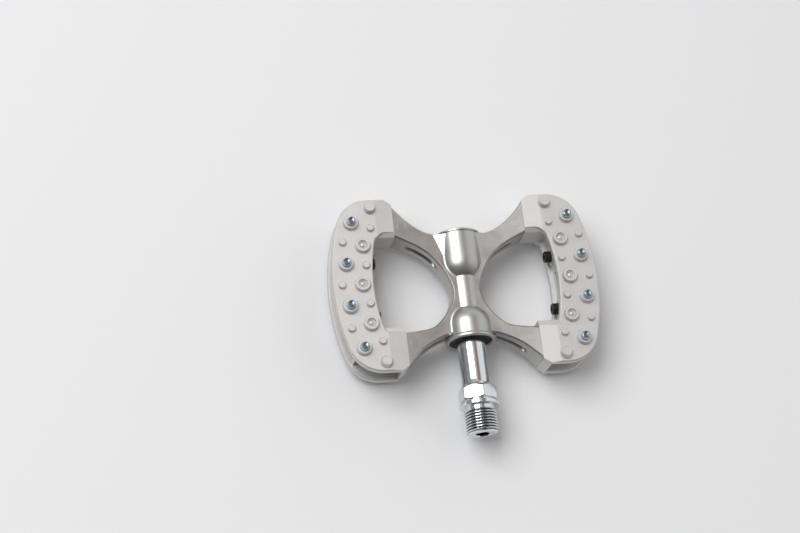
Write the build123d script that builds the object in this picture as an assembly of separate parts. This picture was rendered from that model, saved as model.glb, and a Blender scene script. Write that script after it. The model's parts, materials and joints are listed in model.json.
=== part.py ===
"""Bicycle platform pedal, right-hand side, with four forged arms and two cast grip cages.

Frame: origin on the spindle axis at the shoulder that bears on the crank, +Y outboard along
the spindle, +X towards the front cage, +Z square to the platform. Millimetres.
"""
import os
from math import asin, atan2, cos, degrees, hypot, pi, sin, sqrt

from build123d import *

# ---- platform --------------------------------------------------------------------------
HALF_LENGTH = 60.0        # platform centre to the nose of a cage
HALF_DEPTH = 40.0         # platform centre to the end of a cage, along the spindle
CENTRE_Y = 56.2           # crank shoulder to the platform centre
CAGE_HEIGHT = 16.6        # deck face to deck face
DECK = 3.4                # thickness of one deck
CAGE_WIDTH = 30.0         # nose of a cage to its joint with the arms
NOSE_R = 100.0            # long curve of a cage's nose
CORNER_R = 15.0           # round ends of a cage
DECK_BEVEL = 0.5
END_BEVEL = (3.4, 2.4)    # small flat on a deck's end corner, along X and Y
STRIP_WIDTH = 8.0         # plain strip of deck beside the arms
STRIP_FALL = 0.9          # how far that strip slopes down to the joint
WINDOW_HALF = 22.3        # platform centre to the cheek that closes the window
WINDOW_CORNER_R = 3.0

# ---- rows of studs, fanned about one centre ----------------------------------------------
FAN_REACH = 102.0         # fan centre to the nose
EDGE_ROW = 4.0            # nose to the outer small studs
PIN_ROW = 6.1             # nose to the traction pins
RING_ROW = 13.0           # nose to the ring bosses
CORNER_ROW = 12.3         # nose to the large corner studs
INNER_ROW = 15.05         # nose to the inner small studs
DECK_REACH = 18.1         # nose to the deck's window edge
CORNER_STUD_IN = 4.15     # end of the cage to a corner stud

BOSS = (3.75, 3.05, 1.7)          # foot radius, top radius, height of pin and ring bosses
RING_DISH = (2.1, 1.6, 1.0)       # mouth radius, floor radius, depth of a ring boss's dish
RING_PIP = (1.35, 0.85)          # radius and height of the pip in the dish
CORNER_STUD = (2.95, 2.0, 2.1)
SMALL_STUD = (1.97, 1.35, 1.25)

# ---- traction pins -----------------------------------------------------------------------
PIN_THREAD_R = 2.0
PIN_DOME_R = 2.25
PIN_NECK_R = 1.45
PIN_DOME_HEIGHT = 1.7
PIN_HEIGHT = 2.7
PIN_KEY = 2.0             # hexagon key size
PIN_KEY_DEPTH = 1.3
SCREW_GAP = 0.05          # radial gap round a screw's or pin's shank

# ---- walls inside a cage -------------------------------------------------------------------
END_WALL = 3.6
CHEEK = 2.8
WEB_SETBACK = 1.8
WEB = 2.2
RIB = 1.4
RIB_SETBACK = 1.6
SCOOP_R = 4.4
SCOOP_REACH = 2.1         # how far a scoop bites past the cheek
SCOOP_FALL = 2.0
LEDGE = (19.8, 7.0, 6.2)  # inboard cheek's step: inner face, and heights of its sloping top
WEB_SLOT = (10.5, 3.5)    # length and height of the slot in the web
WEB_SCREW_Y = 12.5
WEB_BOSS = (3.8, 0.7)     # radius and height of the boss under a screw head

# ---- reflectors ------------------------------------------------------------------------------
REFLECTOR_HALF = 17.5
REFLECTOR_GAP = 0.3
REFLECTOR_DEPTH = 5.6
LENS = 2.2
LENS_FRAME = 1.0
M3_R = 1.5
M3_HEAD = (2.6, 3.0)
M3_KEY = 2.5
M3_KEY_DEPTH = 1.4
M3_LENGTH = 6.2

# ---- forged body -------------------------------------------------------------------------------
ARM_MID_HALF = 5.2        # half thickness of the plate at the barrel
ARM_END_HALF = 7.1        # half thickness of an arm at its cage
ARM_BEVEL = 0.7
ARM_SLOT = (11.2, 24.6, 1.65)   # start, end and half height of the slot through an arm
WAIST_R = 6.5
HOUSING_WALL = 0.9        # metal outside the inboard bearing
LIP = 0.75                # how far the mouth's lip stands out
LIP_WIDTH = 1.2
BULGE_WALL = 1.8          # metal outside the outboard bearing
BULGE_END_WALL = 1.9      # the same at the outboard end
RIM = 0.35                # how far the outboard rim stands out
RIM_WIDTH = 1.0
MOUTH_Y = 30.0            # crank shoulder to the barrel's mouth
RIM_Y = 80.7              # crank shoulder to the barrel's outboard face
DOME_FILLET = 1.2
FACET_RISE = 2.4          # rise of the gusset beside the outboard bulge

# ---- joint between arm and cage ------------------------------------------------------------------
RIVET_R = 2.0
RIVET_IN = 3.6            # joint to the rivet's centre
RIVET_OFF = 27.2          # platform centre to the rivet, along Y
TONGUE_R = 3.6
TONGUE_HALF = 3.2
TONGUE_GAP = 0.1

# ---- spindle ---------------------------------------------------------------------------------------
THREAD_R = 7.144          # 9/16 inch
THREAD_PITCH = 1.27       # 20 threads per inch
THREAD_LENGTH = 12.2
THREAD_DEPTH = 0.7
RELIEF = (6.3, 2.1)       # radius and length of the undercut at the shoulder
FLANGE = (8.8, 1.8)       # radius and thickness
GROOVE = (6.6, 1.2)       # radius and width of the neck behind the flange
SHAFT_R = 6.3
WRENCH = (15.0, 5.8)      # across flats, length
WRENCH_BLEND = ((7.5, 1.1), (6.75, 2.3), (SHAFT_R, 4.0))   # radii and distances of its blend to the shaft
SPINDLE_KEY = (6.0, 7.0)  # hexagon key size and depth
SPINDLE_TURN = -26.0      # a wrench flat's lean from +Z towards +X, at rest
MID_R = 4.5               # spindle between the bearings
LOCK_THREAD_R = 3.0

# ---- bearings: bore, outside diameter, width, ball, pitch circle, balls ------------------------------
INBOARD = dict(bore=10.0, od=19.0, width=5.0, ball=2.5, pitch=14.5, count=12)
OUTBOARD = dict(bore=8.0, od=16.0, width=5.0, ball=2.4, pitch=12.0, count=10)
BALL_GAP = 0.03
CAGE_RIM = 0.45           # metal beside each pocket of a ball cage
RACE_LAND = 0.7           # half of the gap between the two rings' lands
SHIELD = 0.3
SEAL_WIDTH = 2.6
SEAL_GAP = 0.05           # running gap at the seal's lip
OUTBOARD_Y = 68.9         # inner face of the outboard bearing
WASHER = (5.6, 1.0)
LOCK_NUT = (10.0, 3.4)    # across flats, height
CAP = 1.8                 # thickness of the dust cap
O_RING = (0.6, 0.1)       # cord radius, and how far it sinks into the bore's wall
BORE_GAP = 0.35           # spindle to the barrel's through bore

# ---- sizes that follow ----------------------------------------------------------------------------------
JOINT_X = HALF_LENGTH - CAGE_WIDTH
GAP_HALF = CAGE_HEIGHT / 2 - DECK
FAN_X = HALF_LENGTH - FAN_REACH
FAN_STEP = asin((HALF_DEPTH - CORNER_STUD_IN) / (FAN_REACH - CORNER_ROW)) / 4
WINDOW_R = FAN_REACH - DECK_REACH
DECK_Z = CAGE_HEIGHT / 2
HOUSING_R = INBOARD["od"] / 2 + HOUSING_WALL
BULGE_R = OUTBOARD["od"] / 2 + BULGE_WALL
BULGE_END_R = OUTBOARD["od"] / 2 + BULGE_END_WALL
SEAT_Y = MOUTH_Y + SEAL_WIDTH + 0.2            # crank-side face of the inboard bearing
STEP_Y = SEAT_Y + INBOARD["width"]
WEB_FACE_R = WINDOW_R + WEB_SETBACK
RIVET_X = JOINT_X - RIVET_IN


def save(name, *solids):
    """Write one node, a single solid or a group of loose ones."""
    shape = solids[0] if len(solids) == 1 else Compound(children=list(solids))
    shape.label = name
    export_step(shape, f"parts/{name}.step")


def fan(row, step):
    """Plan position of a stud on a row, a number of steps round the fan."""
    radius = FAN_REACH - row
    return FAN_X + radius * cos(step * FAN_STEP), radius * sin(step * FAN_STEP)


def lathe(points):
    """Turn (radius, y) points about the spindle axis."""
    outline = make_face(Polyline(*[(r, y, 0) for r, y in points], close=True))
    return revolve(outline, Axis.Y, 360)


def along_y(radius, y0, y1):
    return Pos(0, (y0 + y1) / 2, 0) * Rot(90, 0, 0) * Cylinder(radius, y1 - y0)


def hex_prism_y(flats, y0, y1, turn=0.0):
    bar = extrude(RegularPolygon(flats / 2, 6, major_radius=False), y1 - y0)
    return Rot(0, turn, 0) * Pos(0, y0, 0) * Rot(-90, 0, 0) * bar


def four_ways(shape):
    """The shape with its copies across the XY and YZ planes."""
    pair = [shape, mirror(shape, Plane.YZ)]
    return pair + [mirror(s, Plane.XY) for s in pair]


# ---- cages ------------------------------------------------------------------------------------------------
def cage_plan():
    """C-shaped outline of a deck, about the platform centre."""
    nose_x = HALF_LENGTH - NOSE_R
    corner_y = HALF_DEPTH - CORNER_R
    reach = NOSE_R - CORNER_R
    corner_x = nose_x + sqrt(reach ** 2 - corner_y ** 2)
    turn = asin(corner_y / reach)
    meet = (nose_x + NOSE_R * cos(turn), NOSE_R * sin(turn))
    half = (turn + pi / 2) / 2
    middle = (corner_x + CORNER_R * cos(half), corner_y + CORNER_R * sin(half))
    top = (corner_x, HALF_DEPTH)
    bevel = (JOINT_X + END_BEVEL[0], HALF_DEPTH)
    end = (JOINT_X, HALF_DEPTH - END_BEVEL[1])
    cheek = (JOINT_X, WINDOW_HALF)
    inner = (FAN_X + sqrt(WINDOW_R ** 2 - WINDOW_HALF ** 2), WINDOW_HALF)

    def low(p):
        return p[0], -p[1]

    edges = [
        Line(bevel, top),
        ThreePointArc(top, middle, meet),
        ThreePointArc(meet, (HALF_LENGTH, 0), low(meet)),
        ThreePointArc(low(meet), low(middle), low(top)),
        Line(low(top), low(bevel)),
        Line(low(bevel), low(end)),
        Line(low(end), low(cheek)),
        Line(low(cheek), low(inner)),
        ThreePointArc(low(inner), (FAN_X + WINDOW_R, 0), inner),
        Line(inner, cheek),
        Line(cheek, end),
        Line(end, bevel),
    ]
    face = make_face(Curve() + edges)
    corners = [v for v in face.vertices() if abs(v.X - inner[0]) < 0.1 and abs(abs(v.Y) - inner[1]) < 0.1]
    return fillet(corners, WINDOW_CORNER_R)


def deck(plan):
    """Upper deck, with bevelled rims and the sloping strips beside the arms."""
    slab = extrude(plan, DECK)
    rim = slab.edges().group_by(Axis.Z)
    slab = chamfer(rim[0] + rim[-1], DECK_BEVEL)
    slab = Pos(0, 0, GAP_HALF) * slab
    slope = degrees(asin(STRIP_FALL / STRIP_WIDTH))
    wedge = Box(4 * STRIP_WIDTH, 4 * HALF_DEPTH, 10, align=(Align.MAX, Align.CENTER, Align.MIN))
    return slab - Pos(JOINT_X + STRIP_WIDTH, 0, DECK_Z) * Rot(0, -slope, 0) * wedge


def scoop():
    """Half-moon bite at the window's outboard corner, running out at the joint."""
    centre = (JOINT_X + STRIP_WIDTH / 2 + 0.2, WINDOW_HALF + SCOOP_REACH - SCOOP_R)
    drum = Pos(*centre, DECK_Z) * Cylinder(SCOOP_R, 4 * SCOOP_FALL)
    run = Box(STRIP_WIDTH, 2 * SCOOP_R, 4 * SCOOP_FALL, align=(Align.MAX, Align.CENTER, Align.CENTER))
    drum += Pos(*centre, DECK_Z) * run
    slope = degrees(asin(SCOOP_FALL / SCOOP_R))
    floor = Box(40, 40, 20, align=(Align.CENTER, Align.CENTER, Align.MAX))
    tilt = Pos(centre[0], WINDOW_HALF, DECK_Z - SCOOP_FALL) * Rot(slope, 0, 0) * floor
    return drum - tilt


def ledge():
    """Step of the inboard cheek into the window, sloping down from the decks."""
    inner, high, low = LEDGE
    root = WINDOW_HALF + 0.6
    side = make_face(Polyline((-root, high), (-inner, low), (-inner, -low), (-root, -high), close=True))
    reach = web_point(inner) + 0.3 - JOINT_X
    return Pos(JOINT_X, 0, 0) * extrude(Plane.YZ * side, reach)


def stud(at, foot, top, height):
    """Raised stud on the upper deck, rooted half a millimetre into it."""
    return Pos(at[0], at[1], DECK_Z + height / 2) * Cone(foot, top, height) + \
        Pos(at[0], at[1], DECK_Z - 0.4) * Cylinder(foot, 0.8)


def ring_boss(at):
    mouth_r, floor_r, dish = RING_DISH
    pip_r, pip = RING_PIP
    top = DECK_Z + BOSS[2]
    hollow = Pos(at[0], at[1], top - dish / 2) * Cone(floor_r, mouth_r, dish)
    ball_r = (pip_r ** 2 + pip ** 2) / (2 * pip)
    ball = Pos(at[0], at[1], top - dish + pip - ball_r) * Sphere(ball_r)
    return stud(at, *BOSS) - hollow + (ball & (Pos(at[0], at[1], top - dish) * Cylinder(floor_r, 2.4)))


PIN_SPOTS = [fan(PIN_ROW, step) for step in (-3, -1, 1, 3)]


def deck_studs():
    rings = [ring_boss(fan(RING_ROW, step)) for step in (-2, 0, 2)]
    pins = [stud(spot, *BOSS) for spot in PIN_SPOTS]
    corners = [stud(fan(CORNER_ROW, step), *CORNER_STUD) for step in (-4, 4)]
    inner = [stud(fan(INNER_ROW, step), *SMALL_STUD) for step in (-3, -1, 1, 3)]
    edge = [stud(fan(EDGE_ROW, step), *SMALL_STUD) for step in (-2, 0, 2)]
    return rings + pins + corners + inner + edge


def band(r0, r1, half):
    """Upright wall that follows the fan, between two radii."""
    ring = Cylinder(r1, 2 * GAP_HALF + 1) - Cylinder(r0, 2 * GAP_HALF + 2)
    keep = Pos(HALF_LENGTH / 2, 0, 0) * Box(HALF_LENGTH, 2 * half, 2 * GAP_HALF + 1)
    return (Pos(FAN_X, 0, 0) * ring) & keep


def walls(plan):
    """Everything between the two decks: end walls, cheeks, web and ribs."""
    core = Pos(0, 0, -GAP_HALF - 0.5) * extrude(plan, 2 * GAP_HALF + 1)
    tall = 2 * GAP_HALF + 1
    inner_x = FAN_X + sqrt(WEB_FACE_R ** 2 - WINDOW_HALF ** 2) + WEB
    blocks = band(WEB_FACE_R, WEB_FACE_R + WEB, WINDOW_HALF + CHEEK)
    for side in (-1, 1):
        deep = HALF_DEPTH - WINDOW_HALF
        blocks += Pos(JOINT_X + END_WALL / 2, side * (WINDOW_HALF + deep / 2), 0) * Box(END_WALL, deep, tall)
        cheek = Box(inner_x - JOINT_X, CHEEK, tall)
        blocks += Pos((JOINT_X + inner_x) / 2, side * (WINDOW_HALF + CHEEK / 2), 0) * cheek
        spot = fan(PIN_ROW, side * 3)
        root = (inner_x - RIB, side * (WINDOW_HALF + CHEEK / 2))
        aim = atan2(spot[1] - root[1], spot[0] - root[0])
        long = hypot(spot[0] - root[0], spot[1] - root[1]) + PIN_ROW - RIB_SETBACK
        blocks += Pos(*root, 0) * Rot(0, 0, degrees(aim)) * Pos(long / 2, 0, 0) * Box(long, RIB, tall)
    return core & blocks


def web_point(y):
    """X of the web's window face at a distance along the cage."""
    return FAN_X + sqrt(WEB_FACE_R ** 2 - y ** 2)


def screw_axis(y, x0, x1, radius):
    return Pos((x0 + x1) / 2, y, 0) * Rot(0, 90, 0) * Cylinder(radius, x1 - x0)


SCREW_SEAT_X = web_point(WEB_SCREW_Y) - WEB_BOSS[1]


def tongue(side, grow=0.0):
    """Lug that enters the arm: grow makes the socket for it."""
    half = TONGUE_R + grow
    eye = Pos(RIVET_X, side * RIVET_OFF, 0) * Cylinder(half, 2 * (TONGUE_HALF + grow))
    reach = RIVET_IN + 1.0
    stem = Pos(RIVET_X + reach / 2, side * RIVET_OFF, 0) * Box(reach, 2 * half, 2 * (TONGUE_HALF + grow))
    return eye + stem


def make_cage():
    """Front cage, about the platform centre."""
    plan = cage_plan()
    upper = deck(plan) - scoop()
    upper += deck_studs()
    for spot in PIN_SPOTS:
        upper -= Pos(*spot, DECK_Z) * Cylinder(PIN_THREAD_R + SCREW_GAP, 4 * DECK)
    cage = upper + mirror(upper, Plane.XY) + walls(plan) + ledge()
    for side in (-1, 1):
        y = side * WEB_SCREW_Y
        cage += screw_axis(y, SCREW_SEAT_X, web_point(WEB_SCREW_Y) + 0.6, WEB_BOSS[0])
        cage -= screw_axis(y, SCREW_SEAT_X - 1, SCREW_SEAT_X + 8, M3_R + SCREW_GAP)
        cage += tongue(side)
        cage -= Pos(RIVET_X, side * RIVET_OFF, 0) * Cylinder(RIVET_R, CAGE_HEIGHT)
    cage -= Pos(web_point(0), 0, 0) * Box(12, *WEB_SLOT)
    return cage


# ---- traction pins and fasteners --------------------------------------------------------------------------
def traction_pin():
    """Domed screw-in pin standing on z = 0."""
    rise = PIN_DOME_HEIGHT
    dome = Polyline((0, -DECK - 0.5), (PIN_THREAD_R, -DECK - 0.5), (PIN_THREAD_R, 0), (PIN_DOME_R, 0))
    curve = ThreePointArc((PIN_DOME_R, 0), (PIN_DOME_R * 0.86, rise * 0.6), (PIN_NECK_R + 0.15, rise))
    tip = Polyline((PIN_NECK_R + 0.15, rise), (PIN_NECK_R, rise + 0.1), (PIN_NECK_R, PIN_HEIGHT - 0.15),
                   (PIN_NECK_R - 0.15, PIN_HEIGHT), (0, PIN_HEIGHT), (0, -DECK - 0.5))
    outline = Rot(90, 0, 0) * make_face(Curve() + [dome, curve, tip])
    pin = revolve(outline, Axis.Z, 360)
    key = extrude(RegularPolygon(PIN_KEY / 2, 6, major_radius=False), PIN_KEY_DEPTH)
    return pin - Pos(0, 0, PIN_HEIGHT - PIN_KEY_DEPTH) * key


def reflector_screw(y):
    """Socket-head screw from the window side, its head on the web's boss."""
    head_r, head = M3_HEAD
    body = screw_axis(0, SCREW_SEAT_X - head, SCREW_SEAT_X, head_r)
    body = chamfer(body.edges().group_by(Axis.X)[0], 0.3)
    body += screw_axis(0, SCREW_SEAT_X, SCREW_SEAT_X + M3_LENGTH, M3_R)
    key = extrude(RegularPolygon(M3_KEY / 2, 6, major_radius=False), M3_KEY_DEPTH)
    return Pos(0, y, 0) * (body - Pos(SCREW_SEAT_X - head, 0, 0) * Rot(0, 90, 0) * key)


# ---- reflectors -------------------------------------------------------------------------------------------
def reflector_housing():
    """Black tray behind the lens, bolted to the web and keyed into its slot."""
    back = WEB_FACE_R + WEB + 0.05
    high = 2 * (GAP_HALF - REFLECTOR_GAP)
    tray = band(back, back + REFLECTOR_DEPTH, REFLECTOR_HALF)
    tray &= Box(4 * HALF_LENGTH, 4 * HALF_DEPTH, high)
    pocket = band(back + REFLECTOR_DEPTH - LENS, back + REFLECTOR_DEPTH + 1, REFLECTOR_HALF - LENS_FRAME)
    pocket &= Box(4 * HALF_LENGTH, 4 * HALF_DEPTH, high - 2 * LENS_FRAME)
    tray -= pocket
    tooth_pitch = WEB_SLOT[0] / 7
    start = web_point(0) + 0.7
    depth = FAN_X + back - start + 0.6
    for k in range(-2, 3):
        tooth = Box(depth, tooth_pitch * 0.6, WEB_SLOT[1] - 0.6)
        tray += Pos(start + depth / 2, k * tooth_pitch, 0) * tooth
    for side in (-1, 1):
        tray -= screw_axis(side * WEB_SCREW_Y, SCREW_SEAT_X, SCREW_SEAT_X + M3_LENGTH + 0.3, M3_R + SCREW_GAP)
    return tray


def reflector_lens():
    back = WEB_FACE_R + WEB + 0.05 + REFLECTOR_DEPTH - LENS + 0.05
    high = 2 * (GAP_HALF - REFLECTOR_GAP - LENS_FRAME) - 0.2
    lens = band(back, back + LENS + 0.5, REFLECTOR_HALF - LENS_FRAME - 0.1)
    return lens & Box(4 * HALF_LENGTH, 4 * HALF_DEPTH, high)


# ---- forged body ------------------------------------------------------------------------------------------
def reach(share, start=WAIST_R):
    """X at a share of the way from the waist to the joint."""
    return start + share * (JOINT_X - start)


def body_plan():
    """Four curved arms joined across the barrel, about the platform centre."""
    end_out = HALF_DEPTH - END_BEVEL[1] - 0.5
    end_in = WINDOW_HALF + 0.2
    edges = [Line((-8.0, 23.2), (8.0, 23.2)), Line((-8.0, -23.6), (8.0, -23.6))]
    for side in (-1, 1):
        upper = [(8.0, 23.2), (reach(0.39), 24.8), (reach(0.70), 29.7), (JOINT_X, end_out)]
        window = [(JOINT_X, end_in), (reach(0.45), 15.6), (reach(0.055), 2.7),
                  (WAIST_R - 0.1, -5.0), (reach(0.30), -17.4), (JOINT_X, -end_in)]
        lower = [(JOINT_X, -end_out), (reach(0.66), -29.6), (reach(0.38), -25.8), (8.0, -23.6)]
        for points, start, end in ((upper, (1, 0.05), (1, 1.15)), (window, (-1, -0.5), (1, -0.12)),
                                   (lower, (-1, 0.95), (-1, 0.1))):
            path = [(side * x, y) for x, y in points]
            edges.append(Spline(*path, tangents=((side * start[0], start[1]), (side * end[0], end[1]))))
        for inner, outer in ((end_in, end_out), (-end_in, -end_out)):
            edges.append(Line((side * JOINT_X, inner), (side * JOINT_X, outer)))
    return make_face(Curve() + edges)


def arm_slab():
    """Everything between the arms' curved upper and lower faces."""
    side = make_face(Curve() + [
        ThreePointArc((-JOINT_X, ARM_END_HALF), (0, ARM_MID_HALF), (JOINT_X, ARM_END_HALF)),
        Line((JOINT_X, ARM_END_HALF), (JOINT_X, -ARM_END_HALF)),
        ThreePointArc((JOINT_X, -ARM_END_HALF), (0, -ARM_MID_HALF), (-JOINT_X, -ARM_END_HALF)),
        Line((-JOINT_X, -ARM_END_HALF), (-JOINT_X, ARM_END_HALF))])
    return extrude(Plane.XZ * side, HALF_DEPTH, both=True)


def body_plate():
    """The arms, thin at the barrel and thick at the cages, with bevelled rims."""
    plate = extrude(body_plan(), 2 * ARM_END_HALF, both=True) & arm_slab()
    curved = [e for e in plate.edges() if e.geom_type == GeomType.BSPLINE]
    return chamfer([e for e in curved if abs(e.center().Z) > ARM_MID_HALF / 2], ARM_BEVEL)


def barrel():
    """Turned outside of the barrel."""
    dome_in = sqrt(HOUSING_R ** 2 - WAIST_R ** 2)
    dome_out = sqrt(BULGE_R ** 2 - WAIST_R ** 2)
    in_y = STEP_Y - 1.2
    out_y = OUTBOARD_Y - 2.1
    lip_r = HOUSING_R + LIP
    neck_y = MOUTH_Y + LIP_WIDTH
    edges = [
        Polyline((0, MOUTH_Y), (lip_r - 0.3, MOUTH_Y), (lip_r, MOUTH_Y + 0.3), (lip_r, neck_y),
                 (HOUSING_R, neck_y + LIP), (HOUSING_R, in_y)),
        ThreePointArc((HOUSING_R, in_y), (HOUSING_R * cos(0.4), in_y + HOUSING_R * sin(0.4)),
                      (WAIST_R, in_y + dome_in)),
        Line((WAIST_R, in_y + dome_in), (WAIST_R, out_y - dome_out)),
        ThreePointArc((WAIST_R, out_y - dome_out), (BULGE_R * cos(0.4), out_y - BULGE_R * sin(0.4)),
                      (BULGE_R, out_y)),
        Polyline((BULGE_R, out_y), (BULGE_END_R, RIM_Y - RIM_WIDTH - RIM * 0.7),
                 (BULGE_END_R + RIM, RIM_Y - RIM_WIDTH), (BULGE_END_R + RIM, RIM_Y - 0.3),
                 (BULGE_END_R + RIM - 0.3, RIM_Y), (0, RIM_Y), (0, MOUTH_Y)),
    ]
    return revolve(make_face(Curve() + edges), Axis.Y, 360)


def bore():
    """Stepped bore for seal, bearings and dust cap."""
    seat_r = INBOARD["od"] / 2
    mouth = along_y(seat_r + 0.1, MOUTH_Y - 1, SEAT_Y - 0.2) + along_y(seat_r, SEAT_Y - 0.3, STEP_Y)
    through = along_y(MID_R + BORE_GAP, STEP_Y - 1, OUTBOARD_Y + 1)
    reliefs = along_y(INBOARD["bore"] / 2 + 1, STEP_Y - 1, STEP_Y + 1.5) + \
        along_y(OUTBOARD["bore"] / 2 + 1.6, OUTBOARD_Y - 0.5, OUTBOARD_Y + 1)
    return mouth + through + reliefs + along_y(OUTBOARD["od"] / 2, OUTBOARD_Y, RIM_Y + 1)


def facet():
    """Sloping gusset between an arm and the outboard bulge, first quadrant, about the platform centre."""
    low = ARM_MID_HALF
    corner, toe, heel = (13.4, 23.1), (7.2, 8.0), (5.5, 23.1)
    prism = extrude(make_face(Polyline(corner, toe, (5.5, 8.0), heel, close=True)), low + 6)
    cut = Plane(origin=(*corner, low), x_dir=Vector(toe[0] - corner[0], toe[1] - corner[1], 0),
                z_dir=Vector(toe[0] - corner[0], toe[1] - corner[1], 0).cross(
                    Vector(heel[0] - corner[0], 0, FACET_RISE)))
    keep = Keep.TOP if cut.z_dir.Z < 0 else Keep.BOTTOM
    return split(prism, cut, keep)


def is_dome_foot(edge):
    """True for the edges where the barrel's two swellings rise out of the plate."""
    middle = edge.position_at(0.5)
    housing = MOUTH_Y + LIP_WIDTH + LIP < middle.Y < STEP_Y + HOUSING_R
    bulge = OUTBOARD_Y - BULGE_R < middle.Y < OUTBOARD_Y
    level = ARM_MID_HALF - 0.1 < abs(middle.Z) < ARM_MID_HALF + 0.6
    return (housing or bulge) and level and WAIST_R / 2 < abs(middle.X) < HOUSING_R and edge.length > 2


def arm_slot(side):
    start, end, half = ARM_SLOT
    bar = Box(end - start - 2 * half, HALF_DEPTH, 2 * half)
    ends = [Pos(x, 0, 0) * Rot(90, 0, 0) * Cylinder(half, HALF_DEPTH) for x in (start + half, end - half)]
    return Pos(0, side * (HALF_DEPTH / 2 + 4), 0) * (Pos((start + end) / 2, 0, 0) * bar + ends)


def make_body():
    body = Pos(0, CENTRE_Y, 0) * body_plate() + barrel()
    foot = [e for e in body.edges() if is_dome_foot(e)]
    body = fillet(foot, DOME_FILLET)
    for gusset in four_ways(facet()):
        body += Pos(0, CENTRE_Y, 0) * gusset
    for side in (-1, 1):
        cuts = [arm_slot(side), tongue(side, TONGUE_GAP)]
        cuts.append(Pos(RIVET_X, side * RIVET_OFF, 0) * Cylinder(RIVET_R, CAGE_HEIGHT))
        for cut in cuts:
            body -= Pos(0, CENTRE_Y, 0) * cut
            body -= Pos(0, CENTRE_Y, 0) * mirror(cut, Plane.YZ)
    return body - bore()


# ---- spindle group ----------------------------------------------------------------------------------------
def make_spindle():
    relief_r, relief = RELIEF
    flange_r, flange = FLANGE
    groove_r, groove = GROOVE
    flats, wrench = WRENCH
    seat_in = INBOARD["bore"] / 2
    seat_out = OUTBOARD["bore"] / 2
    root_r = THREAD_R - THREAD_DEPTH
    end_y = -THREAD_LENGTH
    outline = [(0, end_y), (root_r - 0.3, end_y), (root_r + 0.2, end_y + 0.5)]
    crest = 0.18 * THREAD_PITCH
    turns = int((THREAD_LENGTH - relief - 0.9) / THREAD_PITCH)
    for k in range(turns):
        y = end_y + 0.9 + k * THREAD_PITCH
        outline += [(THREAD_R, y), (THREAD_R, y + 2 * crest), (root_r, y + THREAD_PITCH / 2 + crest)]
    outline += [(relief_r, -relief), (relief_r, 0), (flange_r - 0.2, 0), (flange_r, 0.2),
                (flange_r, flange - 0.2), (flange_r - 0.2, flange), (groove_r, flange),
                (groove_r, flange + groove)]
    nut_y = OUTBOARD_Y + OUTBOARD["width"] + WASHER[1] + LOCK_NUT[1]
    wrench_y = flange + groove
    outline += [(SHAFT_R, wrench_y), (SHAFT_R, SEAT_Y), (seat_in, SEAT_Y), (seat_in, STEP_Y),
                (MID_R, STEP_Y + 1), (MID_R, OUTBOARD_Y), (seat_out, OUTBOARD_Y),
                (seat_out, OUTBOARD_Y + OUTBOARD["width"]), (LOCK_THREAD_R, OUTBOARD_Y + OUTBOARD["width"]),
                (LOCK_THREAD_R, nut_y), (LOCK_THREAD_R - 0.4, nut_y + 0.4), (0, nut_y + 0.4)]
    turned = lathe(outline)
    corner_r = flats / sqrt(3)
    top = wrench_y + wrench - 1.2
    blend = [(radius, top + away) for radius, away in WRENCH_BLEND]
    dome = lathe([(0, wrench_y), (corner_r - 0.5, wrench_y), (corner_r, wrench_y + 0.4), (corner_r, top)]
                 + blend + [(0, blend[-1][1])])
    wrench_bar = hex_prism_y(flats, wrench_y, blend[-1][1], SPINDLE_TURN) & dome
    key_flats, key_depth = SPINDLE_KEY
    return turned + wrench_bar - hex_prism_y(key_flats, end_y - 1, end_y + key_depth, SPINDLE_TURN)


def ring_profile(spec, y, outer):
    """One race of a bearing, with its ball groove."""
    middle = spec["pitch"] / 2
    if outer:
        lo, hi = middle + RACE_LAND + 0.05, spec["od"] / 2
    else:
        lo, hi = spec["bore"] / 2, middle - RACE_LAND - 0.05
    ring = along_y(hi, y, y + spec["width"]) - along_y(lo, y - 1, y + spec["width"] + 1)
    groove = revolve(Pos(middle, y + spec["width"] / 2, 0) * Circle(spec["ball"] / 2 + BALL_GAP), Axis.Y, 360)
    return ring - groove


def ball_spots(spec, y):
    step = 2 * pi / spec["count"]
    middle = spec["pitch"] / 2
    return [Pos(middle * cos(k * step), y + spec["width"] / 2, middle * sin(k * step))
            for k in range(spec["count"])]


def balls(spec, y):
    return [spot * Sphere(spec["ball"] / 2) for spot in ball_spots(spec, y)]


def ball_cage(spec, y):
    middle = spec["pitch"] / 2
    half = spec["ball"] / 2 + CAGE_RIM
    centre = y + spec["width"] / 2
    ring = along_y(middle + 0.3, centre - half, centre + half) - along_y(middle - 0.3, centre - half - 1,
                                                                        centre + half + 1)
    pocket = Rot(0, 90, 0) * Cylinder(spec["ball"] / 2 + 2 * BALL_GAP, 2.4, align=(Align.CENTER,) * 3)
    for k in range(spec["count"]):
        ring -= Pos(0, centre, 0) * Rot(0, -360 * k / spec["count"], 0) * Pos(middle, 0, 0) * pocket
    return ring


def shields(spec, y):
    middle = spec["pitch"] / 2
    lo, hi = middle - RACE_LAND + 0.05, middle + RACE_LAND + 0.05
    discs = []
    for start in (y + 0.15, y + spec["width"] - 0.15 - SHIELD):
        discs.append(along_y(hi, start, start + SHIELD) - along_y(lo, start - 1, start + SHIELD + 1))
    return discs


def seal():
    outer = INBOARD["od"] / 2 + 0.1
    lip = SHAFT_R + SEAL_GAP
    y = MOUTH_Y + 0.3
    return lathe([(outer, y), (outer, y + SEAL_WIDTH - 0.3), (lip + 0.8, y + SEAL_WIDTH - 0.3),
                  (lip, y + 1.5), (lip, y + 0.7), (lip + 1.1, y + 0.35), (outer - 1.0, y)])


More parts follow.
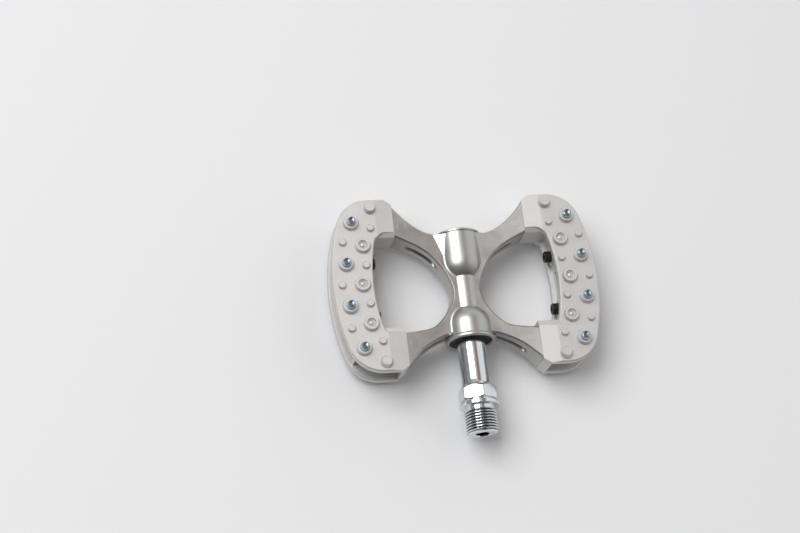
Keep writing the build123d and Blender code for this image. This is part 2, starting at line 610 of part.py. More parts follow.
def dust_cap():
    radius = OUTBOARD["od"] / 2
    y = RIM_Y - CAP
    cord = O_RING[0] - O_RING[1]
    cap = along_y(radius - 0.02, y, RIM_Y - 0.2)
    cap = chamfer(cap.edges().group_by(Axis.Y)[-1], 0.4)
    cap -= Pos(0, RIM_Y + 18.9, 0) * Sphere(20)
    groove = revolve(Pos(radius - cord, y + CAP / 2 - 0.1, 0) * Circle(O_RING[0]), Axis.Y, 360)
    return cap - groove


def o_ring():
    radius = OUTBOARD["od"] / 2 - O_RING[0] + O_RING[1]
    y = RIM_Y - CAP + CAP / 2 - 0.1
    ring = revolve(Pos(radius, y, 0) * Circle(O_RING[0]), Axis.Y, 360)
    return ring & along_y(OUTBOARD["od"] / 2, y - 2, y + 2)


def lock_nut():
    y = OUTBOARD_Y + OUTBOARD["width"] + WASHER[1]
    flats, high = LOCK_NUT
    nut = hex_prism_y(flats, y, y + high) & lathe([
        (0, y), (flats / 2, y), (flats / 2 + 0.8, y + 0.5), (flats / 2 + 0.8, y + high - 0.5),
        (flats / 2, y + high), (0, y + high)])
    return nut - along_y(LOCK_THREAD_R, y - 1, y + high + 1)


def washer():
    y = OUTBOARD_Y + OUTBOARD["width"]
    return along_y(WASHER[0], y, y + WASHER[1]) - along_y(LOCK_THREAD_R, y - 1, y + WASHER[1] + 1)


def main():
    os.makedirs("parts", exist_ok=True)
    place = Pos(0, CENTRE_Y, 0)
    cage = make_cage()
    save("pedal_body", make_body())
    save("front_cage", place * cage)
    save("rear_cage", place * mirror(cage, Plane.YZ))
    slab = arm_slab()
    save("cage_rivets", *[place * (Pos(x, y, 0) * Cylinder(RIVET_R, CAGE_HEIGHT) & slab)
                          for x in (-RIVET_X, RIVET_X) for y in (-RIVET_OFF, RIVET_OFF)])
    pin = traction_pin()
    tops = [Pos(x, y, DECK_Z + BOSS[2]) * pin for x, y in PIN_SPOTS]
    lows = [mirror(p, Plane.XY) for p in tops]
    for name, group in (("top", tops), ("bottom", lows)):
        save(f"front_pins_{name}", *[place * p for p in group])
        save(f"rear_pins_{name}", *[place * mirror(p, Plane.YZ) for p in group])
    screws = [reflector_screw(side * WEB_SCREW_Y) for side in (-1, 1)]
    housing, lens = reflector_housing(), reflector_lens()
    save("front_reflector_screws", *[place * s for s in screws])
    save("rear_reflector_screws", *[place * mirror(s, Plane.YZ) for s in screws])
    save("front_reflector_housing", place * housing)
    save("rear_reflector_housing", place * mirror(housing, Plane.YZ))
    save("front_reflector_lens", place * lens)
    save("rear_reflector_lens", place * mirror(lens, Plane.YZ))
    save("spindle", make_spindle())
    save("spindle_seal", seal())
    for name, spec, y in (("inboard", INBOARD, SEAT_Y), ("outboard", OUTBOARD, OUTBOARD_Y)):
        save(f"{name}_outer_race", ring_profile(spec, y, True))
        save(f"{name}_inner_race", ring_profile(spec, y, False))
        save(f"{name}_balls", *balls(spec, y))
        save(f"{name}_ball_cage", ball_cage(spec, y))
        save(f"{name}_shields", *shields(spec, y))
    save("tab_washer", washer())
    save("lock_nut", lock_nut())
    save("dust_cap", dust_cap())
    save("dust_cap_o_ring", o_ring())


main()
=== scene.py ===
"""Looks for a bicycle platform pedal: threaded chrome spindle, polished forging, blasted castings."""
import json
from math import cos, hypot, pi, radians, sin, sqrt

import bpy
from mathutils import Matrix, Vector


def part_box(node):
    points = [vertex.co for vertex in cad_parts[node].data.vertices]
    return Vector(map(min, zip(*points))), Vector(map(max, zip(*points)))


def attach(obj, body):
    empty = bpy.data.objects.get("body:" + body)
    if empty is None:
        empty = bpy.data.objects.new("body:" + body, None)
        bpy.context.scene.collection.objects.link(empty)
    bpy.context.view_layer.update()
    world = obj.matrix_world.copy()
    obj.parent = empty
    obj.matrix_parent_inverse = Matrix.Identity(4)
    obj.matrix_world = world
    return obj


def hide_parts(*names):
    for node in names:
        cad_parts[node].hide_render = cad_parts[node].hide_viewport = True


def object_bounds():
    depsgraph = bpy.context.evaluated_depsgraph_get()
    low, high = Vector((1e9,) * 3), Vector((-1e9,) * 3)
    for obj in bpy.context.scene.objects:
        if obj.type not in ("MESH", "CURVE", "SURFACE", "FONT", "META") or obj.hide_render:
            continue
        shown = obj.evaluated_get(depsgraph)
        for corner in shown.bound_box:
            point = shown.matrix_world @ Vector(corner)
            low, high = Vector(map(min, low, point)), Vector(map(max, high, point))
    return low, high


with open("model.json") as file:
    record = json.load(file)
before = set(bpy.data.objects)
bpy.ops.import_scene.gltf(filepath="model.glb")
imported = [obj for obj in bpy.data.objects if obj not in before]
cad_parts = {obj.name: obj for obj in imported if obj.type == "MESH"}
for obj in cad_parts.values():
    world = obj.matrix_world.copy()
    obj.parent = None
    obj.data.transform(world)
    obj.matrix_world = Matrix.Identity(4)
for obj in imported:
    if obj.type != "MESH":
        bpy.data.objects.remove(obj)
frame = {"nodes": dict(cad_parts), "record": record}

cad_low, cad_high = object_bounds()
MM = 0.001

# ---- places that come from the frame ----------------------------------------------------------
SPINDLE_LOW, SPINDLE_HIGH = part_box("spindle")
INBOARD_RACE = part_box("inboard_inner_race")
OUTBOARD_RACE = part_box("outboard_inner_race")

# ---- camera, light and floor ------------------------------------------------------------------
EYE = Vector((-0.1987, -0.2248, 0.7604))
AIM = Vector((-0.0276, 0.0671, 0.0))
ROLL = radians(25.8)
LENS = 84.35
SENSOR = 36.0
SOFTBOX_TOWARD = Vector((-0.60, 0.35, 1.0))     # seen from the pedal
SOFTBOX_DISTANCE = 2.5
SOFTBOX_SIZE = (1.7, 2.1)
SOFTBOX_POWER = 48.0
PEDAL_MIDDLE = Vector((0, 0.05, 0))
FLOOR_HALF = 12.0

# ---- spindle, in millimetres; y runs outboard from the shoulder -------------------------------
ROUND_STEPS = 144
SPINDLE_TURN = radians(-26.0)               # how far the wrench flats stand turned at rest

KEY_FLATS = 6.0
KEY_DEEP = 7.0
KEY_BEVEL = 0.35
DRILL_R = 2.8                               # the hole that the socket was broached from
DRILL_TIP = (1.2, 0.4)                      # depth and radius of its tip below the socket

CREST_R = 7.144
THREAD_PITCH = 1.27
THREAD_TALL = 0.70
THREAD_FLAT = 0.08                          # share of half the pitch that is flat, at crest and at root
THREAD_STEPS = 16                           # rings in each turn of the thread
THREAD_END = -2.2                           # the thread runs out this far from the shoulder
THREAD_FADE = 0.5
RUNOUT_SLOPE = 1.2
END_FACE_R = 5.6
END_ROUND = 0.06
ENTRY_R = 5.9                               # the thread's entry chamfer starts here
ENTRY_SLOPE = 1.3
GROOVE_SHADE_FROM = 0.6                            # painted groove shade starts this far in: the end face and the start of its chamfer stay plain chrome

RELIEF_R = 6.3
RELIEF_FILLET = ((0.25, 0.0), (0.05, 0.07), (0.0, 0.25))    # distance from the corner, radius added
FLANGE_R = 8.8
FLANGE_THICK = 1.8
FLANGE_EDGE = 0.35
NECK_R = 6.6
NECK_LONG = 1.2
NECK_FILLET = ((0.0, 0.3), (0.1, 0.08), (0.3, 0.0))

SHAFT_R = 6.3
WRENCH_FLATS = 15.0
WRENCH_LONG = 5.8
WRENCH_BEVEL = 0.9                          # taken off the corners' radius at the neck
BEVEL_STEP = 0.08
BEVEL_STEPS = 8
BEVEL_SLOPE = 0.62                          # length along the spindle for each millimetre of radius
BLEND_START = 1.2                           # the blend starts this far before the flats end
WRENCH_BLEND = ((7.5, 1.1), (6.75, 2.3), (SHAFT_R, 4.0))    # its radii, and how far along each is
BLEND_STEPS = 8

SEAT_EDGE = 0.3
INBOARD_SEAT_R = 5.0
INBOARD_TAPER = 1.0
CORE_R = 4.5                                # between the two bearings
OUTBOARD_SEAT_R = 4.0
TAIL_R = 3.0
TAIL_EDGE = 0.4


# ---- node and colour helpers ------------------------------------------------------------------
def linear(colour):
    """Linear RGBA of an sRGB hex colour."""
    parts = [int(colour[k:k + 2], 16) / 255 for k in (1, 3, 5)]
    return [p / 12.92 if p <= 0.04045 else ((p + 0.055) / 1.055) ** 2.4 for p in parts] + [1.0]


def add(tree, kind, inputs, **settings):
    """Add a node with its properties, and fill its sockets from values or from other nodes' outputs."""
    node = tree.nodes.new("ShaderNode" + kind)
    for name, value in settings.items():
        setattr(node, name, value)
    for name, value in inputs.items():
        if isinstance(value, bpy.types.NodeSocket):
            tree.links.new(value, node.inputs[name])
        else:
            node.inputs[name].default_value = value
    return node


def new_tree(name):
    """A material with an empty node tree."""
    material = bpy.data.materials.new(name)
    material.use_nodes = True
    material.node_tree.nodes.clear()
    return material, material.node_tree


def per_mm(size):
    """Pattern scale, per metre, for features of a size in millimetres."""
    return 1.0 / (size * MM)


# ---- materials --------------------------------------------------------------------------------
def blasted_casting():
    """Die-cast aluminium, glass-bead blasted: even, light and warm, with a fine grain and soft rims."""
    material, tree = new_tree("blasted_cast_aluminium")
    place = add(tree, "TexCoord", {})
    cloud = add(tree, "TexNoise", {"Vector": place.outputs["Object"],
                                   "Scale": per_mm(9), "Detail": 3.0})
    tint = add(tree, "Mix", {"Factor": cloud.outputs["Fac"], "A": linear("#cfcecc"),
                             "B": linear("#dcdbda")}, data_type="RGBA")
    # beads of 0.1 mm leave dimples too fine to show, so they are drawn at 0.7 mm
    grain = add(tree, "TexNoise", {"Vector": place.outputs["Object"],
                                   "Scale": per_mm(0.7), "Detail": 4.0})
    rim = add(tree, "Bevel", {"Radius": 0.2 * MM}, samples=6)
    bump = add(tree, "Bump", {"Strength": 0.5, "Distance": 0.09 * MM, "Height": grain.outputs["Fac"],
                              "Normal": rim.outputs["Normal"]})
    metal = add(tree, "BsdfPrincipled", {"Base Color": tint.outputs["Result"], "Metallic": 1.0,
                                         "Roughness": 0.62, "Normal": bump.outputs["Normal"]})
    add(tree, "OutputMaterial", {"Surface": metal.outputs["BSDF"]})
    return material


def polished_forging():
    """Forged aluminium, polished after machining: bright, with a faint grain that runs along Y."""
    material, tree = new_tree("polished_forged_aluminium")
    place = add(tree, "TexCoord", {})
    stretch = add(tree, "Mapping", {"Vector": place.outputs["Object"], "Scale": (1.0, 0.15, 1.0)})
    # polishing lines of about 0.02 mm are drawn at 0.4 mm
    lines = add(tree, "TexNoise", {"Vector": stretch.outputs["Vector"],
                                   "Scale": per_mm(0.4), "Detail": 3.0})
    cloud = add(tree, "TexNoise", {"Vector": place.outputs["Object"],
                                   "Scale": per_mm(6), "Detail": 3.0})
    gloss = add(tree, "MapRange", {"Value": cloud.outputs["Fac"], "From Min": 0.3, "From Max": 0.7,
                                   "To Min": 0.34, "To Max": 0.44})
    tint = add(tree, "Mix", {"Factor": cloud.outputs["Fac"], "A": linear("#b6b5b3"),
                             "B": linear("#c4c3c1")}, data_type="RGBA")
    rim = add(tree, "Bevel", {"Radius": 0.25 * MM}, samples=6)
    bump = add(tree, "Bump", {"Strength": 0.15, "Distance": 0.02 * MM, "Height": lines.outputs["Fac"],
                              "Normal": rim.outputs["Normal"]})
    metal = add(tree, "BsdfPrincipled", {"Base Color": tint.outputs["Result"], "Metallic": 1.0,
                                         "Roughness": gloss.outputs["Result"],
                                         "Normal": bump.outputs["Normal"]})
    add(tree, "OutputMaterial", {"Surface": metal.outputs["BSDF"]})
    return material


def chrome_plate():
    """Hard chrome over turned steel: a mirror with a trace of the turning under it."""
    material, tree = new_tree("chrome_plated_steel")
    place = add(tree, "TexCoord", {})
    stretch = add(tree, "Mapping", {"Vector": place.outputs["Object"], "Scale": (0.05, 1.0, 0.05)})
    # turning marks of 0.08 mm are drawn at 0.5 mm
    turning = add(tree, "TexNoise", {"Vector": stretch.outputs["Vector"],
                                     "Scale": per_mm(0.5), "Detail": 2.0})
    gloss = add(tree, "MapRange", {"Value": turning.outputs["Fac"], "From Min": 0.3, "From Max": 0.7,
                                   "To Min": 0.08, "To Max": 0.16})
    bump = add(tree, "Bump", {"Strength": 0.12, "Distance": 0.01 * MM, "Height": turning.outputs["Fac"]})
    metal = add(tree, "BsdfPrincipled", {"Base Color": linear("#dfe0e2"), "Metallic": 1.0,
                                         "Roughness": gloss.outputs["Result"],
                                         "Normal": bump.outputs["Normal"]})
    add(tree, "OutputMaterial", {"Surface": metal.outputs["BSDF"]})
    return material


def groove_painted_shade():
    """Thread grooves: thin chrome over the cut steel, drawn in a mottled dark grey as painted shade for
    the dim reflections that the thread flanks catch.
    """
    material, tree = new_tree("thread_groove_painted_shade")
    place = add(tree, "TexCoord", {})
    mottle = add(tree, "TexNoise", {"Vector": place.outputs["Object"],
                                  "Scale": per_mm(1.5), "Detail": 2.0})
    # dark grey in place of chrome: painted shade for the flanks' dim reflections, mottled at random
    tint = add(tree, "Mix", {"Factor": mottle.outputs["Fac"], "A": linear("#54575b"),
                             "B": linear("#7b7e82")}, data_type="RGBA")
    metal = add(tree, "BsdfPrincipled", {"Base Color": tint.outputs["Result"], "Metallic": 1.0,
                                         "Roughness": 0.25})
    add(tree, "OutputMaterial", {"Surface": metal.outputs["BSDF"]})
    return material


def zinc_plate():
    """Bright zinc with a clear passivation: bluish, with a straw tint here and there."""
    material, tree = new_tree("passivated_zinc_plate")
    place = add(tree, "TexCoord", {})
    mottle = add(tree, "TexNoise", {"Vector": place.outputs["Object"],
                                  "Scale": per_mm(1.2), "Detail": 2.0})
    tint = add(tree, "Mix", {"Factor": mottle.outputs["Fac"], "A": linear("#8fa9c4"),
                             "B": linear("#c9c8bd")}, data_type="RGBA")
    gloss = add(tree, "MapRange", {"Value": mottle.outputs["Fac"], "To Min": 0.14, "To Max": 0.26})
    metal = add(tree, "BsdfPrincipled", {"Base Color": tint.outputs["Result"], "Metallic": 1.0,
                                         "Roughness": gloss.outputs["Result"]})
    add(tree, "OutputMaterial", {"Surface": metal.outputs["BSDF"]})
    return material


def black_oxide():
    """Black-oxidised steel, oiled: near black with a satin sheen, a little lighter where it is rubbed."""
    material, tree = new_tree("black_oxide_steel")
    place = add(tree, "TexCoord", {})
    mottle = add(tree, "TexNoise", {"Vector": place.outputs["Object"],
                                  "Scale": per_mm(0.8), "Detail": 3.0})
    tint = add(tree, "Mix", {"Factor": mottle.outputs["Fac"], "A": linear("#151517"),
                             "B": linear("#2b2b2f")}, data_type="RGBA")
    gloss = add(tree, "MapRange", {"Value": mottle.outputs["Fac"], "To Min": 0.3, "To Max": 0.5})
    coat = add(tree, "BsdfPrincipled", {"Base Color": tint.outputs["Result"], "Metallic": 0.3,
                                        "Roughness": gloss.outputs["Result"]})
    add(tree, "OutputMaterial", {"Surface": coat.outputs["BSDF"]})
    return material


def ground_steel():
    """Hardened bearing steel, ground: cool grey with fine lines round the axis."""
    material, tree = new_tree("ground_bearing_steel")
    place = add(tree, "TexCoord", {})
    stretch = add(tree, "Mapping", {"Vector": place.outputs["Object"], "Scale": (0.1, 1.0, 0.1)})
    lines = add(tree, "TexNoise", {"Vector": stretch.outputs["Vector"],
                                   "Scale": per_mm(0.3), "Detail": 2.0})
    tint = add(tree, "Mix", {"Factor": lines.outputs["Fac"], "A": linear("#a5a8ad"),
                             "B": linear("#bcbec2")}, data_type="RGBA")
    gloss = add(tree, "MapRange", {"Value": lines.outputs["Fac"], "To Min": 0.15, "To Max": 0.3})
    metal = add(tree, "BsdfPrincipled", {"Base Color": tint.outputs["Result"], "Metallic": 1.0,
                                         "Roughness": gloss.outputs["Result"]})
    add(tree, "OutputMaterial", {"Surface": metal.outputs["BSDF"]})
    return material


def clear_anodised():
    """Turned aluminium, anodised clear: pale, satin, with rings left by the tool."""
    material, tree = new_tree("clear_anodised_aluminium")
    place = add(tree, "TexCoord", {})
    # feed marks 0.1 mm apart are drawn 3.14 mm apart; at a scale of 1 the rings stand 2 pi / 20 apart
    rings = add(tree, "TexWave", {"Vector": place.outputs["Object"],
                                  "Scale": per_mm(3.14) * 2 * pi / 20},
                wave_type="RINGS", rings_direction="Y")
    tint = add(tree, "Mix", {"Factor": rings.outputs["Fac"], "A": linear("#bfc1c4"),
                             "B": linear("#cdcfd1")}, data_type="RGBA")
    bump = add(tree, "Bump", {"Strength": 0.1, "Distance": 0.02 * MM, "Height": rings.outputs["Fac"]})
    metal = add(tree, "BsdfPrincipled", {"Base Color": tint.outputs["Result"], "Metallic": 1.0,
                                         "Roughness": 0.32, "Normal": bump.outputs["Normal"]})
    add(tree, "OutputMaterial", {"Surface": metal.outputs["BSDF"]})
    return material


def nitrile_rubber():
    """Moulded nitrile rubber: near black and dull, with a fine moulded grain."""
    material, tree = new_tree("nitrile_rubber")
    place = add(tree, "TexCoord", {})
    grain = add(tree, "TexNoise", {"Vector": place.outputs["Object"],
                                   "Scale": per_mm(0.4), "Detail": 4.0})
    tint = add(tree, "Mix", {"Factor": grain.outputs["Fac"], "A": linear("#101012"),
                             "B": linear("#1e1e21")}, data_type="RGBA")
    bump = add(tree, "Bump", {"Strength": 0.3, "Distance": 0.05 * MM, "Height": grain.outputs["Fac"]})
    rubber = add(tree, "BsdfPrincipled", {"Base Color": tint.outputs["Result"], "Roughness": 0.62,
                                          "IOR": 1.52, "Normal": bump.outputs["Normal"]})
    add(tree, "OutputMaterial", {"Surface": rubber.outputs["BSDF"]})
    return material


def moulded_nylon(name, dark, light):
    """Moulded glass-filled nylon: dull, with a fine spark-eroded texture."""
    material, tree = new_tree(name)
    place = add(tree, "TexCoord", {})
    grain = add(tree, "TexNoise", {"Vector": place.outputs["Object"],
                                   "Scale": per_mm(0.3), "Detail": 4.0})
    tint = add(tree, "Mix", {"Factor": grain.outputs["Fac"], "A": linear(dark),
                             "B": linear(light)}, data_type="RGBA")
    bump = add(tree, "Bump", {"Strength": 0.25, "Distance": 0.04 * MM, "Height": grain.outputs["Fac"]})
    nylon = add(tree, "BsdfPrincipled", {"Base Color": tint.outputs["Result"], "Roughness": 0.48,
                                         "IOR": 1.53, "Normal": bump.outputs["Normal"]})
    add(tree, "OutputMaterial", {"Surface": nylon.outputs["BSDF"]})
    return material


def amber_acrylic():
    """Amber acrylic reflector: glossy in front, with small corner-cube prisms moulded behind."""
    material, tree = new_tree("amber_acrylic")
    place = add(tree, "TexCoord", {})
    prisms = add(tree, "TexVoronoi", {"Vector": place.outputs["Object"],
                                      "Scale": per_mm(1.6), "Randomness": 0.0})
    tint = add(tree, "Mix", {"Factor": prisms.outputs["Distance"], "A": linear("#e08a2a"),
                             "B": linear("#a8480c")}, data_type="RGBA")
    bump = add(tree, "Bump", {"Strength": 0.5, "Distance": 0.2 * MM, "Height": prisms.outputs["Distance"]})
    acrylic = add(tree, "BsdfPrincipled", {"Base Color": tint.outputs["Result"], "Roughness": 0.12,
                                           "IOR": 1.49, "Coat Weight": 1.0, "Coat Roughness": 0.05,
                                           "Coat IOR": 1.49, "Normal": bump.outputs["Normal"]})
    add(tree, "OutputMaterial", {"Surface": acrylic.outputs["BSDF"]})
    return material


# ---- mesh helpers -----------------------------------------------------------------------------
def hexagon(flats, turn):
    """Radius of a hexagonal section round the spindle, by angle from +Z towards +X."""
    def radius(angle):
        return flats / 2 / cos((angle - turn + pi / 6) % (pi / 3) - pi / 6)
    return radius


def turned_mesh(name, rings):
    """Join rings of (y, radius or radius function) round the spindle axis into one closed skin."""
    verts, faces = [], []
    step = 2 * pi / ROUND_STEPS
    for y, radius in rings:
        for k in range(ROUND_STEPS):
            r = radius(k * step) if callable(radius) else radius
            verts.append((r * sin(k * step) * MM, y * MM, r * cos(k * step) * MM))
    last = (len(rings) - 1) * ROUND_STEPS
    for here in range(0, last, ROUND_STEPS):
        there = here + ROUND_STEPS
        for k in range(ROUND_STEPS):
            after = (k + 1) % ROUND_STEPS
            faces.append((here + k, here + after, there + after, there + k))
    for row, y, flip in ((0, rings[0][0], True), (last, rings[-1][0], False)):
        tip = len(verts)
        verts.append((0, y * MM, 0))
        for k in range(ROUND_STEPS):
            pair = (row + k, row + (k + 1) % ROUND_STEPS)
            faces.append((tip, pair[1], pair[0]) if flip else (tip, pair[0], pair[1]))
    mesh = bpy.data.meshes.new(name)
    mesh.from_pydata(verts, [], faces)
    mesh.validate()
    piece = bpy.data.objects.new(name, mesh)
    bpy.context.scene.collection.objects.link(piece)
    return piece


def lower_of(*limits):
    """Smallest of several radii at each angle."""
    def radius(angle):
        return min(limit(angle) if callable(limit) else limit for limit in limits)
    return radius


def rounded_rim(y0, y1, radius, blend_r):
    """Rings for a disc's edge with rounded corners."""
    rings = []
    for k in range(6):
        turn = (5 - k) / 5 * pi / 2
        rings.append((y0 + blend_r * (1 - sin(turn)), radius - blend_r * (1 - cos(turn))))
    return rings + [(y0 + y1 - y, r) for y, r in reversed(rings)]


def soften(piece, angle):
    """Smooth shading, kept sharp past an angle in degrees."""
    bpy.context.view_layer.objects.active = piece
    for other in bpy.context.selected_objects:
        other.select_set(False)
    piece.select_set(True)
    bpy.ops.object.shade_smooth_by_angle(angle=radians(angle))


# ---- spindle ----------------------------------------------------------------------------------
def socket_rings(end):
    """Hexagon socket for the key, from the bottom of its drilled hole to the end face."""
    key = hexagon(KEY_FLATS, SPINDLE_TURN)
    bottom = end + KEY_DEEP
    return [(bottom + DRILL_TIP[0], DRILL_TIP[1]), (bottom, DRILL_R), (bottom, key),
            (end + KEY_BEVEL, key), (end, lambda angle: key(angle) + KEY_BEVEL), (end, END_FACE_R)]


def thread_radius(y):
    """Right-hand thread with narrow flat crests and roots, at a distance along the spindle."""
    def radius(angle):
        phase = (y / THREAD_PITCH - angle / (2 * pi)) % 1.0
        away = abs(phase - 0.5) * 2                        # 0 at the crest, 1 at the root
        share = min(max((away - THREAD_FLAT) / (1 - 2 * THREAD_FLAT), 0.0), 1.0)
        return CREST_R - THREAD_TALL * share
    return radius


def thread_rings(end):
    """The thread, from its entry chamfer to where it runs out into the relief."""
    y = end + END_ROUND
    rings = [(y, ENTRY_R)]
    while y < THREAD_END:
        y += THREAD_PITCH / THREAD_STEPS
        entry = ENTRY_R + (y - end) * ENTRY_SLOPE
        runout = RELIEF_R + max(THREAD_END + THREAD_FADE - y, 0.0) * RUNOUT_SLOPE
        rings.append((y, lower_of(thread_radius(y), entry, runout)))
    return rings + [(THREAD_END + THREAD_FADE, RELIEF_R)]


def flange_rings():
    """Relief behind the thread, shoulder flange, and the neck between flange and wrench flats."""
    neck_end = FLANGE_THICK + NECK_LONG
    rings = [(-along, RELIEF_R + out) for along, out in RELIEF_FILLET]
    rings += rounded_rim(0.0, FLANGE_THICK, FLANGE_R, FLANGE_EDGE)
    rings += [(FLANGE_THICK + along, NECK_R + out) for along, out in NECK_FILLET]
    rings += [(neck_end - along, NECK_R + out) for along, out in reversed(NECK_FILLET)]
    return rings


def wrench_rings():
    """Wrench flats, their corners bevelled at the neck and blended in a long sweep into the shaft."""
    wrench = hexagon(WRENCH_FLATS, SPINDLE_TURN)
    corner = WRENCH_FLATS / sqrt(3)
    near = FLANGE_THICK + NECK_LONG
    rings = [(near, corner - WRENCH_BEVEL)]
    for k in range(1, BEVEL_STEPS + 1):
        along = k * BEVEL_STEP
        rings.append((near + along, lower_of(wrench, corner - WRENCH_BEVEL + along / BEVEL_SLOPE)))
    blend_y = near + WRENCH_LONG - BLEND_START
    start = (corner, 0.0)
    for stop in WRENCH_BLEND:
        for k in range(BLEND_STEPS):
            share = k / BLEND_STEPS
            r = start[0] + (stop[0] - start[0]) * share
            rings.append((blend_y + start[1] + (stop[1] - start[1]) * share, lower_of(wrench, r)))
        start = stop
    return rings + [(blend_y + start[1], SHAFT_R)]


def shaft_rings():
    """Plain shaft, then the seats of the two bearings and the tail that holds the lock nut."""
    seat, seat_end = (corner.y / MM for corner in INBOARD_RACE)
    far_seat, far_end = (corner.y / MM for corner in OUTBOARD_RACE)
    tail = SPINDLE_HIGH.y / MM
    return [(seat - SEAT_EDGE, SHAFT_R), (seat, SHAFT_R - SEAT_EDGE), (seat, INBOARD_SEAT_R),
            (seat_end, INBOARD_SEAT_R), (seat_end + INBOARD_TAPER, CORE_R), (far_seat, CORE_R),
            (far_seat, OUTBOARD_SEAT_R), (far_end, OUTBOARD_SEAT_R), (far_end, TAIL_R),
            (tail - TAIL_EDGE, TAIL_R), (tail, TAIL_R - TAIL_EDGE)]


def build_spindle():
    """The chromed spindle, with a real helix for its thread and painted shade in the grooves."""
    end = SPINDLE_LOW.y / MM
    rings = socket_rings(end) + thread_rings(end) + flange_rings() + wrench_rings() + shaft_rings()
    piece = turned_mesh("chromed_spindle", rings)
    piece.data.materials.append(MATERIALS["chrome"])
    piece.data.materials.append(MATERIALS["groove"])
    # faces deep in the thread grooves get the darker groove material, which is painted shade
    for patch in piece.data.polygons:
        out = hypot(patch.center.x, patch.center.z) / MM
        if end + GROOVE_SHADE_FROM < patch.center.y / MM < THREAD_END and out < CREST_R - THREAD_TALL / 2:
            patch.material_index = 1
    soften(piece, 28)
    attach(piece, "spindle")
    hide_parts("spindle")


# ---- stage ------------------------------------------------------------------------------------
def build_floor():
    """Plain pale floor under the lower pins, wide enough for every view."""
    mesh = bpy.data.meshes.new("floor")
    corners = [(-1, -1), (1, -1), (1, 1), (-1, 1)]
    verts = [(x * FLOOR_HALF, y * FLOOR_HALF, cad_low.z) for x, y in corners]
    mesh.from_pydata(verts, [], [(0, 1, 2, 3)])
    board = bpy.data.objects.new("floor", mesh)
    bpy.context.scene.collection.objects.link(board)
    material, tree = new_tree("pale_paper")
    paper = add(tree, "BsdfPrincipled", {"Base Color": linear("#e9e9ea"), "Roughness": 0.9, "IOR": 1.3})
    add(tree, "OutputMaterial", {"Surface": paper.outputs["BSDF"]})
    mesh.materials.append(material)


def build_softbox():
    """One white softbox, high over the rear cage and a little outboard, that faces the pedal."""
    light = bpy.data.lights.new("key_softbox", "AREA")
    light.shape = "RECTANGLE"
    light.size, light.size_y = SOFTBOX_SIZE
    light.energy = SOFTBOX_POWER
    lamp = bpy.data.objects.new("key_softbox", light)
    bpy.context.scene.collection.objects.link(lamp)
    away = SOFTBOX_TOWARD.normalized()
    across = Vector((0, 1, 0)).cross(away).normalized()
    lamp.matrix_world = Matrix((across, away.cross(across), away)).transposed().to_4x4()
    lamp.location = PEDAL_MIDDLE + away * SOFTBOX_DISTANCE


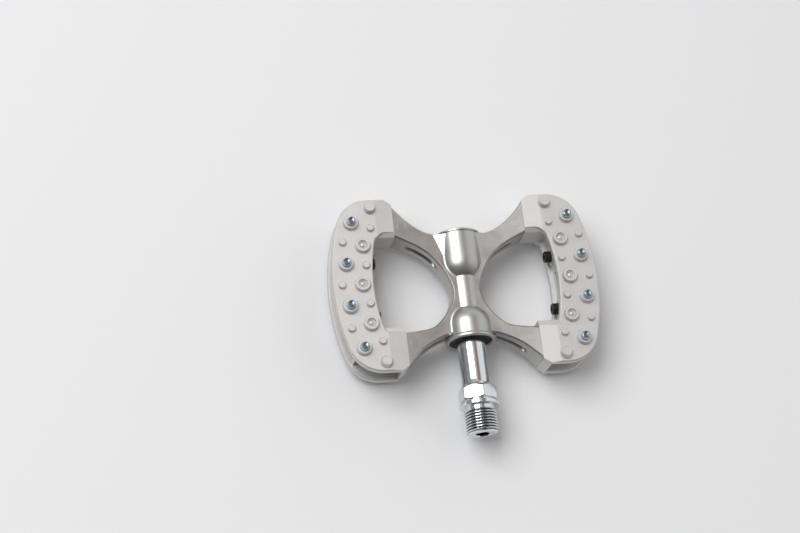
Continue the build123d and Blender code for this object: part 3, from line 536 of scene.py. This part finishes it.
def build_room():
    """A pale room: lighter beyond the front cage, darker behind the crank, a warm gap overhead."""
    world = bpy.data.worlds.new("studio")
    bpy.context.scene.world = world
    world.use_nodes = True
    tree = world.node_tree
    tree.nodes.clear()
    place = add(tree, "TexCoord", {})
    axis = add(tree, "SeparateXYZ", {"Vector": place.outputs["Generated"]})
    # each share goes smoothly from 0 to 1 between two values of one axis of the direction looked in
    ramps = {"light_side": ("X", -0.9, 0.6), "crank_side": ("Y", 0.1, -0.9),
             "gap_start": ("X", 0.02, 0.16), "gap_end": ("X", 0.56, 0.36), "overhead": ("Z", 0.4, 0.7)}
    share = {}
    for name, (letter, start, stop) in ramps.items():
        ramp = add(tree, "MapRange", {"Value": axis.outputs[letter], "From Min": start, "From Max": stop},
                   interpolation_type="SMOOTHSTEP")
        share[name] = ramp.outputs["Result"]
    sides = add(tree, "Mix", {"Factor": share["light_side"], "A": linear("#8b8e91"),
                              "B": linear("#e0e3e4")}, data_type="RGBA")
    walls = add(tree, "Mix", {"Factor": share["crank_side"], "A": sides.outputs["Result"],
                              "B": linear("#55575b")}, data_type="RGBA")
    width = add(tree, "Math", {0: share["gap_start"], 1: share["gap_end"]}, operation="MULTIPLY")
    gap = add(tree, "Math", {0: width.outputs["Value"], 1: share["overhead"]}, operation="MULTIPLY")
    room = add(tree, "Mix", {"Factor": gap.outputs["Value"], "A": walls.outputs["Result"],
                             "B": linear("#8b7a70")}, data_type="RGBA")
    glow = add(tree, "Background", {"Color": room.outputs["Result"], "Strength": 1.15})
    add(tree, "OutputWorld", {"Surface": glow.outputs["Background"]})


def build_camera():
    """Camera above and inboard of the pedal, rolled so that the spindle points down the picture."""
    camera = bpy.data.cameras.new("camera")
    camera.lens = LENS
    camera.sensor_width = SENSOR
    eye = bpy.data.objects.new("camera", camera)
    bpy.context.scene.collection.objects.link(eye)
    eye.location = EYE
    turn = (AIM - EYE).to_track_quat("-Z", "Y").to_matrix() @ Matrix.Rotation(ROLL, 3, "Z")
    eye.rotation_euler = turn.to_euler()
    bpy.context.scene.camera = eye


# ---- the work ---------------------------------------------------------------------------------
MATERIALS = {
    "casting": blasted_casting(),
    "forging": polished_forging(),
    "chrome": chrome_plate(),
    "groove": groove_painted_shade(),
    "zinc": zinc_plate(),
    "oxide": black_oxide(),
    "ground": ground_steel(),
    "anodised": clear_anodised(),
    "rubber": nitrile_rubber(),
    "black_nylon": moulded_nylon("black_moulded_nylon", "#121214", "#1f1f22"),
    "natural_nylon": moulded_nylon("natural_moulded_nylon", "#cfc8ac", "#ddd7c0"),
    "amber": amber_acrylic(),
}
FINISH_OF_SLOT = {
    "forged_aluminium": "forging", "cast_aluminium": "casting", "rivet_aluminium": "forging",
    "zinc_plated_steel": "zinc", "black_oxide_steel": "oxide", "chromed_steel": "chrome",
    "bearing_steel": "ground", "ball_steel": "chrome", "cage_nylon": "natural_nylon",
    "shield_steel": "ground", "seal_rubber": "rubber", "cap_aluminium": "anodised",
    "reflector_black": "black_nylon", "reflector_amber": "amber",
}


def finish_frame_nodes():
    """Give every node of the frame the finish of its material slot."""
    for part in frame["record"]["subparts"]:
        node = frame["nodes"][part["node"]]
        node.data.materials.clear()
        node.data.materials.append(MATERIALS[FINISH_OF_SLOT[part["material_slot"]]])


finish_frame_nodes()
build_spindle()
build_floor()
build_room()
build_softbox()
build_camera()
bpy.context.scene.view_settings.view_transform = "Standard"
